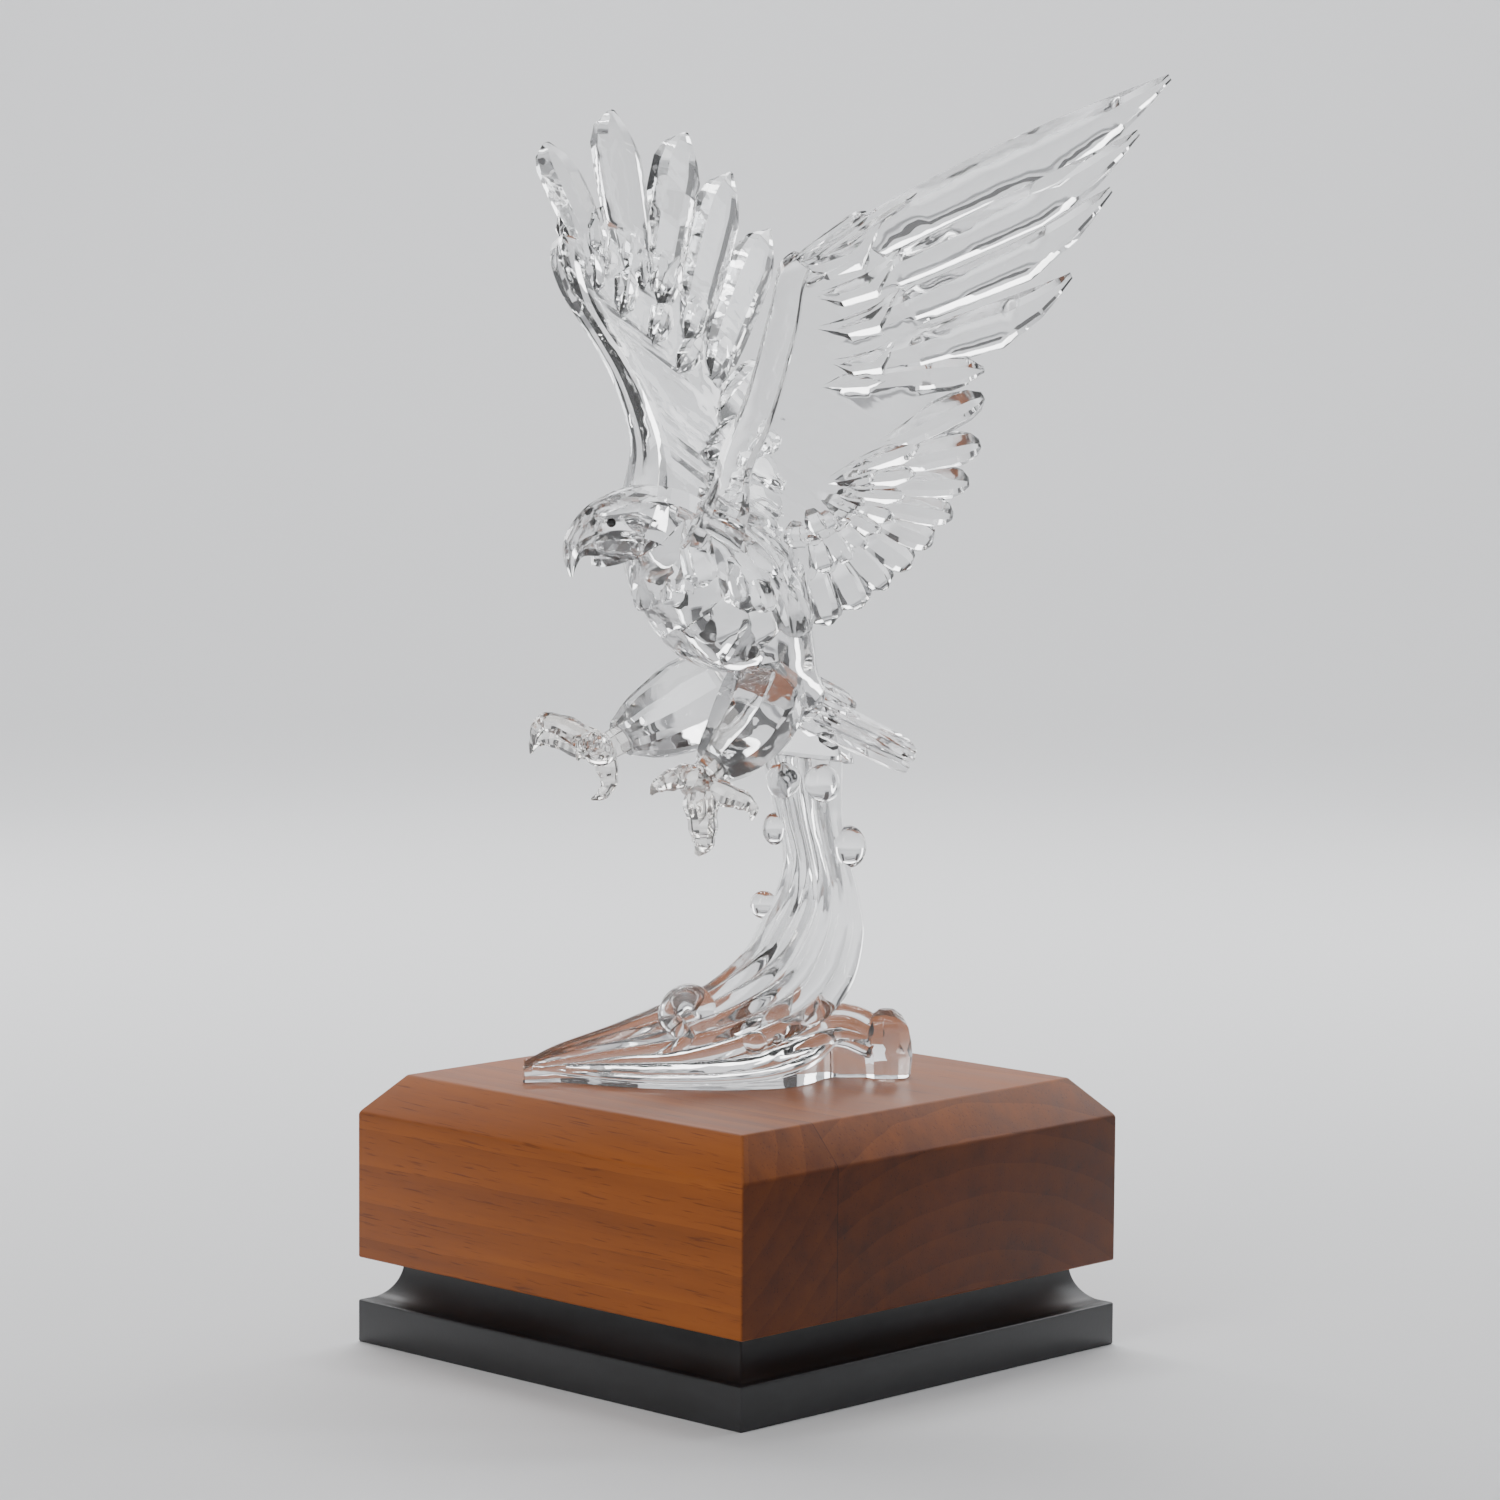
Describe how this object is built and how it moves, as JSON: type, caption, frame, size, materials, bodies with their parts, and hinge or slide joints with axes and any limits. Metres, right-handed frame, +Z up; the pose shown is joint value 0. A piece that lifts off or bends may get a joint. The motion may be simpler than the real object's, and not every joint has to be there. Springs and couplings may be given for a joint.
{
  "type": "acrylic eagle sculpture",
  "caption": "Clear acrylic eagle with raised wings landing above a breaking wave, on a square walnut block with a chamfered top over a black coved base.",
  "frame": {"origin": "middle of the black base's underside", "axes": "+Z up, plinth sides along X and Y, the bird faces -Y and a little towards -X"},
  "size_m": [0.1932, 0.146, 0.2972],
  "materials": {
    "black_lacquer": "satin black lacquer",
    "walnut": "oiled satin",
    "clear_acrylic": "clear, polished",
    "warm_acrylic": "clear, slightly milky",
    "black_bead": "gloss"
  },
  "bodies": {
    "root": {"black_base": "black_lacquer", "walnut_block": "walnut", "wave_stand": "clear_acrylic", "eagle": "clear_acrylic", "left_foot": "warm_acrylic", "right_foot": "warm_acrylic", "left_eye": "black_bead", "right_eye": "black_bead"}
  },
  "joints": []
}
